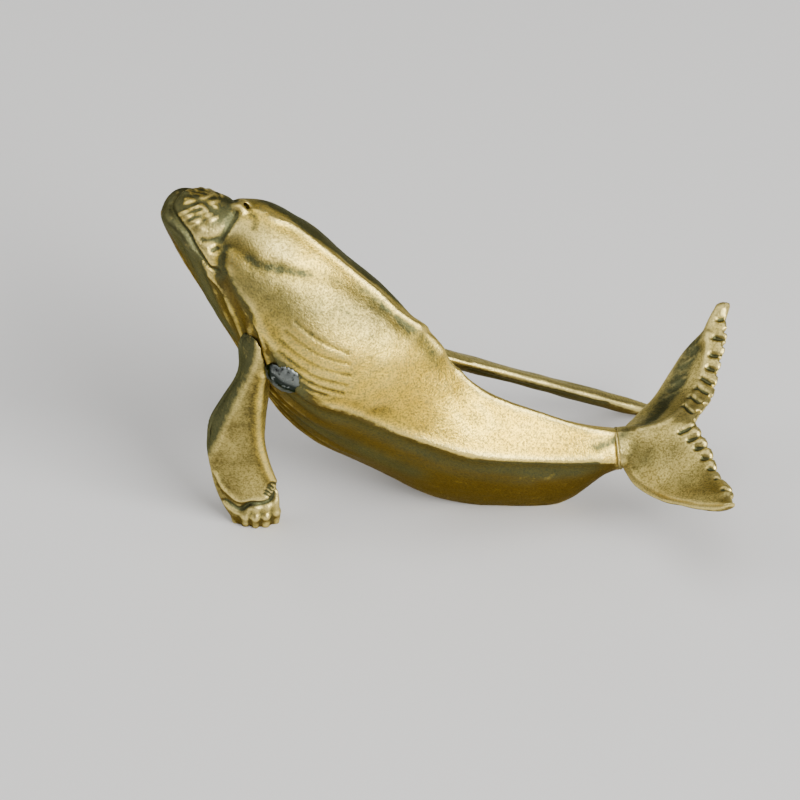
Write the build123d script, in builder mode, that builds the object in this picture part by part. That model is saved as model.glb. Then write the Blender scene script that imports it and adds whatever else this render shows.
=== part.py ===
"""Small cast brass whale, a humpback rearing up on its two flippers and its keeled belly.

Frame: +X towards the tail, +Y to the whale's right side, +Z up, millimetres.
The origin is on the surface that the whale rests on, below the middle of its box.
"""
import os
from collections import namedtuple
from math import cos, radians, sin

from build123d import *

# Body sections, snout to tail. x, y and z place the body's axis and pitch leans the section back.
# crest is the ridge above the axis, side the half width, edge the height of the side edge over
# the axis, and keel the depth of the belly below it. roll is the lean of the back towards the
# whale's left, in degrees, and bulge the rise of the flank arcs as a share of their chord.
front_roll = 10.0
front_bulge = 0.18
belly_bulge = 0.08  # the same for the arcs from side edge to keel
Station = namedtuple(
    "Station", "x y z pitch crest side edge keel roll bulge", defaults=(front_roll, front_bulge)
)
snout = Station(x=-30.9, y=2.0, z=40.5, pitch=36, crest=0.8, side=1.4, edge=-0.2, keel=1.0)
lips = Station(x=-30.2, y=1.9, z=40.5, pitch=36, crest=1.6, side=2.6, edge=-0.3, keel=2.1)
jaw = Station(x=-28.1, y=1.8, z=39.8, pitch=37, crest=3.0, side=3.8, edge=-0.8, keel=4.3)
blowhole = Station(x=-25.6, y=1.6, z=37.9, pitch=38, crest=4.5, side=4.9, edge=-1.0, keel=6.0)
eyes = Station(x=-23.5, y=1.4, z=36.3, pitch=40, crest=6.2, side=5.8, edge=-1.2, keel=7.2)
nape = Station(x=-21.5, y=1.1, z=34.5, pitch=43, crest=7.2, side=6.5, edge=-1.5, keel=8.1)
throat = Station(x=-19.1, y=0.8, z=32.0, pitch=46, crest=8.0, side=7.1, edge=-1.8, keel=9.1)
shoulder = Station(x=-17.0, y=0.4, z=29.7, pitch=49, crest=8.1, side=7.7, edge=-2.1, keel=9.8)
chest = Station(x=-13.5, y=0.0, z=25.8, pitch=50, crest=8.6, side=8.3, edge=-2.6, keel=11.4)
waist = Station(x=-10.5, y=-0.4, z=22.0, pitch=47, crest=9.1, side=7.7, edge=-1.3, keel=12.4, bulge=0.15)
hump = Station(x=-6.2, y=-0.4, z=17.6, pitch=38, crest=8.7, side=6.4, edge=-0.6, keel=12.4, roll=8, bulge=0.11)
loin = Station(x=-2.0, y=-0.5, z=14.8, pitch=29, crest=6.9, side=5.7, edge=0.0, keel=11.8, roll=7, bulge=0.07)
belly = Station(x=2.9, y=-0.7, z=12.5, pitch=21, crest=5.2, side=5.2, edge=0.3, keel=12.1, roll=6, bulge=0.05)
rump = Station(x=8.5, y=-0.5, z=10.5, pitch=13, crest=4.4, side=4.2, edge=0.4, keel=11.2, roll=6, bulge=0.05)
vent = Station(x=11.8, y=-0.4, z=9.7, pitch=8, crest=4.0, side=3.5, edge=0.5, keel=10.4, roll=6.5, bulge=0.05)
stock = Station(x=15.2, y=-0.4, z=8.9, pitch=3, crest=3.7, side=2.9, edge=0.8, keel=7.8, roll=8, bulge=0.07)
tail_end = Station(x=19.5, y=0.0, z=8.5, pitch=-8, crest=2.9, side=2.6, edge=0.4, keel=3.2, bulge=0.12)
body_stations = [
    snout, lips, jaw, blowhole, eyes, nape, throat, shoulder, chest,
    waist, hump, loin, belly, rump, vent, stock, tail_end,
]

# Blowhole guard, a bead on the ridge of the head with one blind hole.
guard_radius = 1.6
guard_sink = 0.7
guard_setback = 0.8
blowhole_radius = 0.4
blowhole_depth = 1.0

# Flipper sections, from the flank to the tip. share runs along the flipper, bow shifts it along its chord.
Blade = namedtuple("Blade", "share bow chord thickness")
left_root_blade = Blade(share=-0.11, bow=1.5, chord=2.4, thickness=1.4)
left_neck_blade = Blade(share=0.06, bow=0.0, chord=3.9, thickness=2.9)
left_upper_blade = Blade(share=0.20, bow=-0.6, chord=4.4, thickness=2.6)
left_elbow_blade = Blade(share=0.44, bow=-2.2, chord=6.5, thickness=2.2)
left_middle_blade = Blade(share=0.60, bow=-2.1, chord=6.8, thickness=2.1)
left_broad_blade = Blade(share=0.78, bow=-1.2, chord=7.1, thickness=2.2)
left_lower_blade = Blade(share=0.90, bow=-0.5, chord=6.4, thickness=2.5)
left_end_blade = Blade(share=1.02, bow=0.0, chord=4.4, thickness=1.8)
left_blades = [
    left_root_blade, left_neck_blade, left_upper_blade, left_elbow_blade,
    left_middle_blade, left_broad_blade, left_lower_blade, left_end_blade,
]
right_root_blade = Blade(share=-0.04, bow=-2.4, chord=3.4, thickness=2.0)
right_neck_blade = Blade(share=0.12, bow=-0.6, chord=5.2, thickness=2.2)
right_broad_blade = Blade(share=0.40, bow=0.0, chord=5.8, thickness=2.0)
right_middle_blade = Blade(share=0.70, bow=0.0, chord=5.0, thickness=1.9)
right_lower_blade = Blade(share=0.90, bow=0.0, chord=3.8, thickness=1.9)
right_end_blade = Blade(share=1.00, bow=0.0, chord=2.4, thickness=1.5)
right_blades = [
    right_root_blade, right_neck_blade, right_broad_blade,
    right_middle_blade, right_lower_blade, right_end_blade,
]
# Where each flipper leaves the flank, across and above the axis of its body section.
left_root_across = -5.9
left_root_above = -4.4
right_root_across = 7.2
right_root_above = -4.2
# Tips of the flippers: the left stands on the surface, the right lies on it.
left_tip_x = -21.7
left_tip_y = -2.4
right_tip_x = 24.0
right_tip_y = 17.5
right_tip_z = 0.75
left_chord_direction = Vector(1, 0, 0)
right_chord_direction = Vector(0, 0.8, -0.6)
# Knuckles along the end of the left flipper.
knuckle_count = 5
knuckle_pitch = 1.12
knuckle_radius = 0.7
knuckle_height = 2.3
knuckle_proud = 1.1
knuckle_bow = 0.9  # how much further back the outer knuckles sit than the middle one
knuckle_foot = 0.45  # radius of the flat that each knuckle stands on

# Fluke sections, middle to tip, each a step out from the last, with its leading and trailing edge
# behind and above the tail's end.
Fluke = namedtuple("Fluke", "step lead_x lead_z trail_x trail_z thickness")
fluke_root = Fluke(step=0.0, lead_x=0.6, lead_z=0.3, trail_x=8.7, trail_z=4.2, thickness=2.6)
fluke_inner = Fluke(step=3.0, lead_x=0.8, lead_z=-0.4, trail_x=9.9, trail_z=3.7, thickness=2.1)
fluke_middle = Fluke(step=3.8, lead_x=3.3, lead_z=-0.5, trail_x=11.2, trail_z=3.2, thickness=1.7)
fluke_outer = Fluke(step=3.1, lead_x=5.9, lead_z=1.2, trail_x=12.0, trail_z=4.3, thickness=1.5)
fluke_end = Fluke(step=3.2, lead_x=8.8, lead_z=3.5, trail_x=12.5, trail_z=5.8, thickness=1.2)
fluke_tip = Fluke(step=2.4, lead_x=11.4, lead_z=6.0, trail_x=12.8, trail_z=6.9, thickness=0.9)
fluke_stations = [fluke_root, fluke_inner, fluke_middle, fluke_outer, fluke_end, fluke_tip]
fluke_roll = 9.5  # degrees that the right fluke is higher than the left
fluke_yaw = 2.0  # degrees that the right fluke trails the left
neck_length = 4.5
neck_rise = 1.9
neck_pitch = -22.0
neck_crest = 1.2
neck_side = 1.6
neck_keel = 1.0
scallop_count = 9
scallop_radius = 0.32
scallop_depth = 2.6

# Round tenons that hold the castings in their sockets, and the solder round the joints.
# start is how far along its flipper or neck a tenon sets out, reach its length from there.
tenon_radius = 0.9
left_tenon_start = 2.8
left_tenon_reach = 5.6
right_tenon_start = 2.0
right_tenon_reach = 5.5
tail_tenon_start = 1.0
tail_tenon_reach = 4.2
socket_clearance = 0.1
solder_film = 0.25
left_solder_radius = 3.0
left_solder_along = 2.0
left_solder_behind = 4.0
left_solder_outside = 0.6
right_solder_radius = 1.8
right_solder_along = 4.0
right_solder_inset = 1.6
right_solder_drop = 1.0


def section_axes(pitch, roll):
    """Unit vectors across and up a body section."""
    lean = radians(pitch)
    tip = radians(roll)
    upright = Vector(sin(lean), 0, cos(lean))
    level = Vector(0, 1, 0)
    up = upright * cos(tip) - level * sin(tip)
    across = level * cos(tip) + upright * sin(tip)
    return across, up


def section_plane(station, setback=0.0):
    """Plane of a body section, its normal towards the tail."""
    across, up = section_axes(station.pitch, station.roll)
    normal = across.cross(up)
    origin = Vector(station.x, station.y, station.z) + normal * setback
    return Plane(origin=origin, x_dir=across, z_dir=normal)


def bowed_arc(start, end, bulge):
    """Arc between two section points, bowed outwards by a share of its chord."""
    chord = end - start
    outward = Vector(chord.Y, -chord.X)
    middle = (start + end) * 0.5 + outward * bulge
    return ThreePointArc(start, middle, end)


def body_section(station, setback=0.0):
    """Kite of four arcs with creases at the ridge, the side edges and the keel."""
    ridge = Vector(0, station.crest)
    right = Vector(station.side, station.edge)
    keel = Vector(0, -station.keel)
    left = Vector(-station.side, station.edge)
    with BuildSketch(section_plane(station, setback)) as section:
        with BuildLine():
            bowed_arc(left, keel, belly_bulge)
            bowed_arc(keel, right, belly_bulge)
            bowed_arc(right, ridge, station.bulge)
            bowed_arc(ridge, left, station.bulge)
        make_face()
    return section.sketch


def flank_point(station, across_size, above_size):
    """Point given across and above the axis of a body section."""
    across, up = section_axes(station.pitch, station.roll)
    return Vector(station.x, station.y, station.z) + across * across_size + up * above_size


def flipper_sections(blades, root, tip, chord_direction):
    """Ellipses along a flipper, for a loft."""
    run = tip - root
    chord = chord_axis(root, tip, chord_direction)
    sections = []
    for blade in blades:
        centre = root + run * blade.share + chord * blade.bow
        with BuildSketch(Plane(origin=centre, x_dir=chord, z_dir=run)) as section:
            Ellipse(blade.chord / 2, blade.thickness / 2)
        sections.append(section.sketch)
    return sections


def chord_axis(root, tip, chord_direction):
    """Unit vector along a flipper's chord, square to its length."""
    axis = (tip - root).normalized()
    return (chord_direction - axis * chord_direction.dot(axis)).normalized()


left_tip = Vector(left_tip_x, left_tip_y, 0)
right_tip = Vector(right_tip_x, right_tip_y, right_tip_z)
left_root = flank_point(shoulder, left_root_across, left_root_above)
right_root = flank_point(waist, right_root_across, right_root_above)
left_axis = (left_tip - left_root).normalized()
right_axis = (right_tip - right_root).normalized()
right_chord = chord_axis(right_root, right_tip, right_chord_direction)

# Tenons point into the body: level across the left flipper, and along the chord of the right one.
left_tenon = Plane(origin=left_root + left_axis * left_tenon_start, z_dir=section_plane(shoulder).x_dir)
right_tenon = Plane(origin=right_root + right_axis * right_tenon_start, z_dir=-right_chord)
tail_tenon = -section_plane(tail_end, solder_film + tail_tenon_start)
tenons = [(left_tenon, left_tenon_reach), (right_tenon, right_tenon_reach), (tail_tenon, tail_tenon_reach)]

# Body as cast, before its sockets are cut.
with BuildPart() as body_blank:
    loft(sections=[body_section(station) for station in body_stations])
    guard_plane = section_plane(blowhole, guard_setback)
    guard_centre = guard_plane.from_local_coords(Vector(0, blowhole.crest - guard_sink, 0))
    with Locations(guard_centre):
        Sphere(guard_radius)
    guard_top = guard_plane.from_local_coords(Vector(0, blowhole.crest - guard_sink + guard_radius, 0))
    with BuildSketch(Plane(origin=guard_top, z_dir=guard_plane.y_dir)):
        Circle(blowhole_radius)
    extrude(amount=-blowhole_depth, mode=Mode.SUBTRACT)
    split(bisect_by=Plane.XY, keep=Keep.TOP)

# Left flipper, which hangs from the shoulder and stands on its knuckled end.
with BuildPart() as left_flipper:
    loft(sections=flipper_sections(left_blades, left_root, left_tip, left_chord_direction))
    knuckle_rise = knuckle_height - knuckle_radius
    for index in range(knuckle_count):
        outward = 2 * index / (knuckle_count - 1) - 1
        offset = outward * knuckle_pitch * (knuckle_count - 1) / 2
        front = left_tip.Y - knuckle_proud + knuckle_bow * outward**2
        foot = Vector(left_tip.X + offset, front, 0)
        with Locations(foot + Vector(0, 0, knuckle_rise / 2)):
            Cone(knuckle_foot, knuckle_radius, knuckle_rise)
        with Locations(foot + Vector(0, 0, knuckle_rise)):
            Sphere(knuckle_radius)
    split(bisect_by=Plane.XY, keep=Keep.TOP)
    add(body_blank.part, mode=Mode.SUBTRACT)
    with BuildSketch(left_tenon):
        Circle(tenon_radius)
    extrude(amount=left_tenon_reach)

# Right flipper, swept back along the body to lie on its tip.
with BuildPart() as right_flipper:
    loft(sections=flipper_sections(right_blades, right_root, right_tip, right_chord_direction))
    split(bisect_by=Plane.XY, keep=Keep.TOP)
    add(body_blank.part, mode=Mode.SUBTRACT)
    with BuildSketch(right_tenon):
        Circle(tenon_radius)
    extrude(amount=right_tenon_reach)

# Neck of the flukes, which carries on the tail's section and fades into the blade.
with BuildPart() as neck:
    neck_end = Station(
        x=tail_end.x + neck_length, y=tail_end.y, z=tail_end.z + neck_rise,
        pitch=neck_pitch, crest=neck_crest, side=neck_side, edge=0.0, keel=neck_keel,
    )
    loft(sections=[body_section(tail_end, solder_film), body_section(neck_end)])

# Tail flukes, one casting with the neck and a tenon in front, scalloped along the trailing edges.
tail_point = Vector(tail_end.x, tail_end.y, tail_end.z)
span_direction = Vector(0, 1, 0).rotate(Axis.X, fluke_roll).rotate(Axis.Z, -fluke_yaw)
right_half = []
half_span = 0
for fluke in fluke_stations:
    half_span += fluke.step
    right_half.append((half_span, fluke))
left_half = [(-span, fluke) for span, fluke in reversed(right_half[1:])]
fluke_sections = []
trailing_points = []
for span, fluke in left_half + right_half:
    lead = tail_point + Vector(fluke.lead_x, 0, fluke.lead_z) + span_direction * span
    trail = tail_point + Vector(fluke.trail_x, 0, fluke.trail_z) + span_direction * span
    with BuildSketch(Plane(origin=(lead + trail) * 0.5, x_dir=trail - lead, z_dir=span_direction)) as blade:
        Ellipse((trail - lead).length / 2, fluke.thickness / 2)
    fluke_sections.append(blade.sketch)
    trailing_points.append(trail)

with BuildPart() as tail_flukes:
    loft(sections=fluke_sections)
    add(neck.part)
    with BuildLine(mode=Mode.PRIVATE) as trailing_edge:
        Spline(*trailing_points)
    scallop_steps = 2 * scallop_count + 1
    shares = [step / scallop_steps for step in range(1, scallop_steps)]
    with Locations(*[trailing_edge.line @ share for share in shares]):
        Cylinder(scallop_radius, scallop_depth, mode=Mode.SUBTRACT)
    with BuildSketch(tail_tenon):
        Circle(tenon_radius)
    extrude(amount=tail_tenon_reach)

# Film of solder that shows as a seam between the tail and the flukes.
with BuildPart() as tail_solder:
    extrude(body_section(tail_end), amount=solder_film)
    add(tail_flukes.part, mode=Mode.SUBTRACT)

# Body with a socket for each tenon.
with BuildPart() as body_casting:
    add(body_blank.part)
    for tenon, reach in tenons:
        with BuildSketch(tenon):
            Circle(tenon_radius + socket_clearance)
        extrude(amount=reach + socket_clearance, mode=Mode.SUBTRACT)

# Solder run in round each flipper's root.
with BuildPart() as left_flipper_solder:
    left_armpit = left_root + left_axis * left_solder_along + left_chord_direction * left_solder_behind
    with Locations(left_armpit - Vector(0, left_solder_outside, 0)):
        Sphere(left_solder_radius)
    add(body_blank.part, mode=Mode.SUBTRACT)
    add(left_flipper.part, mode=Mode.SUBTRACT)

with BuildPart() as right_flipper_solder:
    right_underside = right_chord.cross(right_axis)
    joint = right_root + right_axis * right_solder_along - right_chord * right_solder_inset
    with Locations(joint + right_underside * right_solder_drop):
        Sphere(right_solder_radius)
    add(body_blank.part, mode=Mode.SUBTRACT)
    add(right_flipper.part, mode=Mode.SUBTRACT)

pieces = {
    "body_casting": body_casting,
    "left_flipper": left_flipper,
    "right_flipper": right_flipper,
    "tail_flukes": tail_flukes,
    "left_flipper_solder": left_flipper_solder,
    "right_flipper_solder": right_flipper_solder,
    "tail_solder": tail_solder,
}
# The origin moves to the middle of the whole whale's box, on the surface that it rests on.
box = Compound([piece.part for piece in pieces.values()]).bounding_box()
to_origin = Location((-box.center().X, -box.center().Y, 0))
os.makedirs("parts", exist_ok=True)
for name, piece in pieces.items():
    placed = piece.part.moved(to_origin)
    placed.label = name
    export_step(placed, f"parts/{name}.step")
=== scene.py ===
from collections import namedtuple
from math import cos, pi, radians, sin

import bmesh
import bpy
import numpy as np
from mathutils import Matrix, Vector
from mathutils.bvhtree import BVHTree


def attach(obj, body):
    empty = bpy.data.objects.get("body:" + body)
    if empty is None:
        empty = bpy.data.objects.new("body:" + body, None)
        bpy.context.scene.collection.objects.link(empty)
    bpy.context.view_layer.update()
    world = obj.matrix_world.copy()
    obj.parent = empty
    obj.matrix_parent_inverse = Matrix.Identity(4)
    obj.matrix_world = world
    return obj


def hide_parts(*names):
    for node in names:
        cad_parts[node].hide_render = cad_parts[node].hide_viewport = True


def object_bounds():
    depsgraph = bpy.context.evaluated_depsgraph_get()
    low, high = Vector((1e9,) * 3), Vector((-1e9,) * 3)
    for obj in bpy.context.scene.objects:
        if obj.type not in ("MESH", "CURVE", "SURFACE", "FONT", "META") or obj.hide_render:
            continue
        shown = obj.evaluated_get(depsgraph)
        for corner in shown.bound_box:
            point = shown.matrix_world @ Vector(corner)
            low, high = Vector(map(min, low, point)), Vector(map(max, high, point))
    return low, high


# A small brass humpback whale, cast in four pieces and soldered, dressed over its solids.
# Lengths are in metres, and MM turns millimetres into them.
MM = 0.001
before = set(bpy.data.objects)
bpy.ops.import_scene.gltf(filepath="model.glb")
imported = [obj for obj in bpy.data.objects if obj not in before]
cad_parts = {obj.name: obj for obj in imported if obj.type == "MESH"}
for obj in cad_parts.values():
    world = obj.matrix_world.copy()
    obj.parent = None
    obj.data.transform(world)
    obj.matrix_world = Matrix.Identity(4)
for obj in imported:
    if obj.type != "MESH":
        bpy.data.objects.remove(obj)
cad_box = [[float(value) for value in corner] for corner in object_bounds()]

# The view: a long lens from above the whale's left side.
IMAGE_SIDE = 800
VIEW_HEIGHT = radians(37.0)
VIEW_DISTANCE = 450 * MM
PIXELS_PER_MM = 8.88
VIEW_AIM = Vector((-5.87, -1.57, 15.51)) * MM
SENSOR_WIDTH = 36.0

view_back = Vector((0.0, -cos(VIEW_HEIGHT), sin(VIEW_HEIGHT)))
view_right = Vector((1.0, 0.0, 0.0))
view_up = view_back.cross(view_right)
view_eye = VIEW_AIM + view_back * VIEW_DISTANCE
view_reach = PIXELS_PER_MM / MM * VIEW_DISTANCE

# The body's own middle plane at the head and the chest, for details that both sides share.
MIDPLANE_POINT = Vector((-20.2, -0.44, 32.0)) * MM
MIDPLANE_NORMAL = Vector((0.12, 0.985, 0.125)).normalized()
BODY_UP = Vector((0.70, -0.17, 0.69))

# Remesh sizes that keep the creases of each casting, and the smoothing of the skins.
BODY_GRAIN = 0.21 * MM
BLADE_GRAIN = 0.14 * MM
SOLDER_GRAIN = 0.10 * MM
WELD_DISTANCE = 0.0005 * MM
RELAX_SHARE = 0.5
SMOOTH_SHARE = 0.6

# Uneven casting: low swells and a finer roughness, made of waves of mixed lengths.
BODY_SWELL = 0.06 * MM
BODY_ROUGH = 0.012 * MM
BLADE_SWELL = 0.05 * MM
WAVES = 14
WAVE_SPREAD = (0.7, 1.6)

# Reach of a stroke in its own widths, and the least squared length of a step along it.
STROKE_REACH = 3
LEAST_STEP = 1e-18

# Wear is read from how far the surface stands off its smoothed self, nearby and further out.
NEAR_STEPS = 6
NEAR_FULL = 0.045 * MM
FAR_STEPS = 50
FAR_FULL = 0.20 * MM
FAR_WEAR = 0.6
# Downward tilt over which the underside gets its dark brown film: real patina, painted shade and a painted
# warm reflection.
UNDERSIDE_FILM_TILT = (-0.12, 0.35)

# Knobs across the snout.
TUBERCLE_LENGTH = 0.58 * MM
TUBERCLE_WIDTH = 0.24 * MM
TUBERCLE_HEIGHT = 0.24 * MM
TUBERCLE_SWELL = (0.8, 1.15)
TUBERCLE_POLISH = 0.9

# Folds along the throat.
PLEAT_PITCH = 1.15 * MM
PLEAT_DEPTH = 0.12 * MM
THROAT_START = -31.5 * MM
THROAT_END = -8.0 * MM
THROAT_FADE_IN = 2.5 * MM
THROAT_FADE_OUT = 12 * MM
THROAT_TILT = (0.05, 0.35)

# Patina and painted shade on the far side of the back, and how far the blowhole guard is rubbed clean of
# them.
FAR_SIDE_FADE = 1.3 * MM
FAR_SIDE_STRENGTH = 1.35
GUARD_POLISH = 0.95
GUARD_CLEAN = 0.9

# Strokes over the picture, in its pixels, that place the sculpted lines on the head.
MOUTH_LINE = [
    (170, 203), (172, 211), (181, 224), (189, 234), (195, 246), (201, 256), (208, 268), (215, 272),
]
LOWER_LIP = [(163, 216), (178, 233), (191, 251), (199, 269), (205, 282), (212, 298)]
SNOUT_FOLD = [(236, 213), (231, 222), (226, 231), (219, 239), (210, 241), (202, 241)]
BROW_VALLEY = [(219, 239), (230, 243), (238, 248), (247, 257), (257, 266), (277, 270)]
CHEEK_HOLLOW = [(224, 251), (221, 266), (225, 281), (234, 298), (246, 318)]
THROAT_UNDERSIDE_FILM = [(222, 282), (232, 302), (243, 322), (254, 340), (266, 350)]
THROAT_FOLD = [(211, 277), (217, 286), (224, 294)]
EYE_SPOT = [(212, 251), (215, 249)]
GUARD_DENT = [(255, 216), (256, 221), (254, 227)]
SNOUT_TUBERCLES = [
    [(185, 203), (194, 200)], [(202, 197), (212, 195)], [(178, 215), (189, 210)], [(191, 209), (202, 205)],
    [(211, 202), (218, 201)], [(183, 219), (193, 214)], [(197, 214), (205, 211)], [(190, 225), (200, 220)],
    [(204, 217), (212, 214)], [(207, 222), (217, 217)], [(197, 233), (204, 228)],
]

# Strokes along the back, the flank and the belly.
BACK_RIDGE = [(272, 218), (295, 226), (322, 247), (341, 262), (376, 291), (399, 312), (431, 335), (445, 350)]
REAR_RIDGE = [(455, 366), (470, 383), (486, 395), (511, 405), (536, 413), (561, 421), (586, 428), (614, 432)]
HUMP_TOP = [(418, 324), (432, 336), (441, 349)]
FLANK_EDGE = [
    (228, 254), (228, 267), (231, 281), (238, 292), (247, 302), (255, 316), (265, 332), (285, 365),
    (300, 392), (321, 404), (349, 411), (375, 422), (400, 433), (425, 442), (450, 450), (470, 456),
    (500, 458), (533, 460), (566, 461), (599, 460),
]
FLANK_UNDERCUT = [
    (290, 396), (318, 414), (349, 422), (375, 433), (400, 444), (425, 453), (450, 462), (470, 467),
    (500, 469), (533, 470), (566, 471), (592, 470),
]
BELLY_BAND = [(400, 456), (430, 466), (460, 474), (493, 479), (530, 482)]
LOIN_FACET = [(462, 392), (468, 405), (476, 420)]
TAIL_SEAM = [(614, 430), (616, 444), (618, 458), (619, 468)]
FLANK_WRINKLES = [
    [(296, 322), (311, 335), (330, 346), (347, 353)],
    [(286, 331), (303, 345), (324, 357), (349, 364)],
    [(280, 340), (298, 355), (321, 368), (350, 376)],
    [(279, 351), (296, 365), (318, 378), (347, 386)],
    [(284, 364), (299, 376), (319, 387), (343, 394)],
    [(293, 380), (308, 389), (327, 396)],
]

# Strokes over the near flipper: the ridge between its two facets, its bright rim and its cuffed end.
FLIPPER_RIDGE = [(262, 350), (256, 369), (244, 396), (231, 421), (223, 440), (215, 456), (209, 470)]
FLIPPER_RIM = [(264, 376), (260, 398), (258, 424), (260, 446), (266, 466), (273, 480)]
FLIPPER_CUFF = [
    (216, 474), (222, 487), (232, 497), (240, 501), (251, 499), (264, 500), (272, 492), (275, 482),
]
FLIPPER_GAP = [(226, 502), (236, 509), (242, 510), (250, 505), (262, 504), (272, 500), (277, 490)]
CUFF_HATCHES = [
    [(265, 494), (270, 497)], [(266, 491), (271, 494)], [(268, 488), (272, 491)],
    [(269, 485), (273, 488)], [(271, 482), (275, 484)],
]
FLIPPER_LOBES = [
    [(246, 516), (247, 524)], [(257, 509), (256, 520)], [(268, 508), (267, 518)], [(277, 502), (277, 514)],
]
FLIPPER_FACET_SLOPE = 0.30
FACET_FADE = (440, 470)
FACET_ROUND = 0.7 * MM
FACET_REACH = 2.2 * MM
FACET_TILT = (-0.25, 0.15)
# The front facet's dark colour is painted shade, the dark reflection the facet shows.
FACET_PAINTED_SHADE = 1.2
FACET_PAINTED_SHADE_WIDTH = 1.3 * MM

# Cloudy patina along the far flipper.
FAR_CLOUD_SIZE = 6 * MM
FAR_CLOUD_STAIN = 0.45
FAR_CLOUD_RANGE = (0.0, 1.4)

# Strokes over the far flipper, along its upper side.
FAR_FLIPPER_CREASE = [(470, 370), (500, 378), (540, 388), (580, 398), (606, 404)]
FAR_FLIPPER_RIB = [(474, 361), (500, 368), (540, 378), (580, 388), (606, 394)]

# Strokes over the flukes: notches from the trailing edge inwards, rims, hollows and streaks.
NEAR_NOTCHES = [
    [(697, 425), (680, 432)], [(702, 436), (689, 440)], [(709, 447), (696, 448)], [(715, 459), (703, 458)],
    [(721, 472), (710, 469)], [(729, 482), (717, 479)], [(734, 494), (723, 490)],
]
FAR_NOTCHES = [
    [(723, 319), (719, 320)], [(726, 340), (715, 338)], [(722, 356), (711, 355)], [(719, 371), (708, 368)],
    [(713, 384), (702, 379)], [(707, 393), (696, 388)], [(699, 402), (689, 397)], [(692, 412), (683, 406)],
]
NEAR_RIM = [(612, 456), (628, 471), (645, 485), (668, 497), (700, 504), (727, 504)]
NEAR_HOLLOW = [(640, 456), (656, 458), (672, 452), (684, 446)]
FAR_CREASE = [(640, 430), (661, 424), (677, 414), (690, 401), (699, 388), (705, 363), (709, 335)]
FAR_HOLLOW = [(654, 418), (669, 400), (682, 379), (693, 355), (702, 333)]
FAR_SHADE = [(646, 424), (661, 403), (674, 382), (686, 358), (696, 335), (705, 317)]
NECK_FILL = [(647, 434), (642, 447), (633, 461)]
NECK_STEPS = 40
NEAR_EDGE = [(694, 426), (702, 440), (709, 452), (716, 466), (722, 480), (729, 493)]
FAR_TIP = [(720, 309), (715, 316), (710, 327), (704, 340)]
FAR_STREAKS = [
    [(664, 397), (679, 388)], [(671, 384), (684, 376)], [(681, 364), (693, 356)], [(690, 347), (701, 341)],
]

# Strokes of dark patina and thin tarnish that were never rubbed off, and strokes of painted shade. The
# cheek, brow, crest, edge, belly and solder strokes are painted shade; the far side of the back is patina
# with painted shade, and the upper flank is tarnish with painted shade.
SNOUT_STAIN = [(166, 207), (176, 199), (190, 194), (206, 193), (222, 198), (236, 206)]
LIP_STAIN = [(172, 213), (180, 227), (188, 241), (195, 255), (203, 271)]
CHEEK_PAINTED_SHADE = [(224, 255), (221, 266), (219, 278)]
SNOUT_SHADE = [(177, 209), (189, 214), (203, 213), (219, 210), (229, 215)]
JAW_STAIN = [(163, 218), (174, 234), (188, 253), (199, 272), (208, 292), (217, 312), (229, 328)]
FAR_SIDE_PATINA_AND_SHADE = [(278, 208), (295, 217), (312, 229), (336, 247), (362, 268), (390, 295)]
BROW_SHADE = [(248, 257), (259, 265), (274, 268), (291, 271), (308, 275)]
CREST_SHADE = [(294, 274), (322, 279), (345, 284), (368, 296), (390, 311), (408, 327)]
HUMP_STAIN = [(402, 325), (413, 333), (425, 344), (437, 361)]
TAIL_STAIN = [(627, 431), (619, 437), (608, 443), (597, 447)]
EDGE_PAINTED_SHADE = [(468, 460), (500, 463), (533, 464), (566, 465), (597, 463)]
ARMPIT_STAIN = [(280, 362), (290, 374), (299, 388), (304, 399)]
BELLY_SHADE = [(306, 424), (340, 440), (375, 456), (410, 470)]
FLANK_TARNISH_AND_SHADE = [(250, 285), (280, 299), (312, 308), (345, 312), (375, 317)]
HEAD_TARNISH = [(200, 235), (225, 228), (250, 235), (280, 250)]
FLANK_STAINS = [
    [(319, 297), (323, 304)], [(340, 309), (342, 311)], [(347, 312), (351, 317)], [(368, 306), (373, 309)],
    [(310, 331), (313, 334)], [(370, 334), (372, 337)],
]
SOLDER_SHADE = [(268, 364), (270, 373), (277, 381), (287, 387), (300, 391)]

# Stroke over the blowhole guard, which is rubbed bright.
GUARD_SHINE = [(244, 207), (256, 208), (269, 213), (285, 223)]

# Solder at each joint: how far it stands proud, and how lumpy it is.
Joint = namedtuple("Joint", "node piece seed proud lumps")
LEFT_JOINT = Joint("left_flipper_solder", "whale_left_solder", seed=31, proud=0.05 * MM, lumps=0.06 * MM)
RIGHT_JOINT = Joint("right_flipper_solder", "whale_right_solder", seed=37, proud=0.05 * MM, lumps=0.06 * MM)
TAIL_JOINT = Joint("tail_solder", "whale_tail_solder", seed=41, proud=0.08 * MM, lumps=0.01 * MM)
LUMP_SIZE = 1.2 * MM

# Colours of the brass, its tarnish and its patina, which also carry painted shade, and a brown painted warm
# reflection for the underside.
DULL_BRASS = (0.80, 0.52, 0.045, 1)
BRIGHT_BRASS = (0.95, 0.67, 0.075, 1)
WORN_BRASS = (0.96, 0.80, 0.30, 1)
BRASS_GLANCE = (0.52, 0.52, 0.44, 1)
OLIVE_TARNISH_AND_SHADE = (0.52, 0.48, 0.21, 1)
BROWN_GRAIN = (0.26, 0.205, 0.055, 1)
DARK_PATINA_AND_SHADE = (0.032, 0.042, 0.024, 1)
PALE_PATINA_AND_SHADE = (0.085, 0.098, 0.048, 1)
WARM_REFLECTION_BROWN = (0.095, 0.056, 0.009, 1)

# Weights in the brass: the underside's film in the dark share, wear in the colour, and what patina, painted
# shade and grain add.
UNDERSIDE_FILM_WEIGHT = 1.4
WEAR_TINT = 0.5
PATINA_AND_SHADE_COVER = 0.92
PATINA_AND_SHADE_ROUGH = 0.10
GRAIN_BUMP = 0.8

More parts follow.
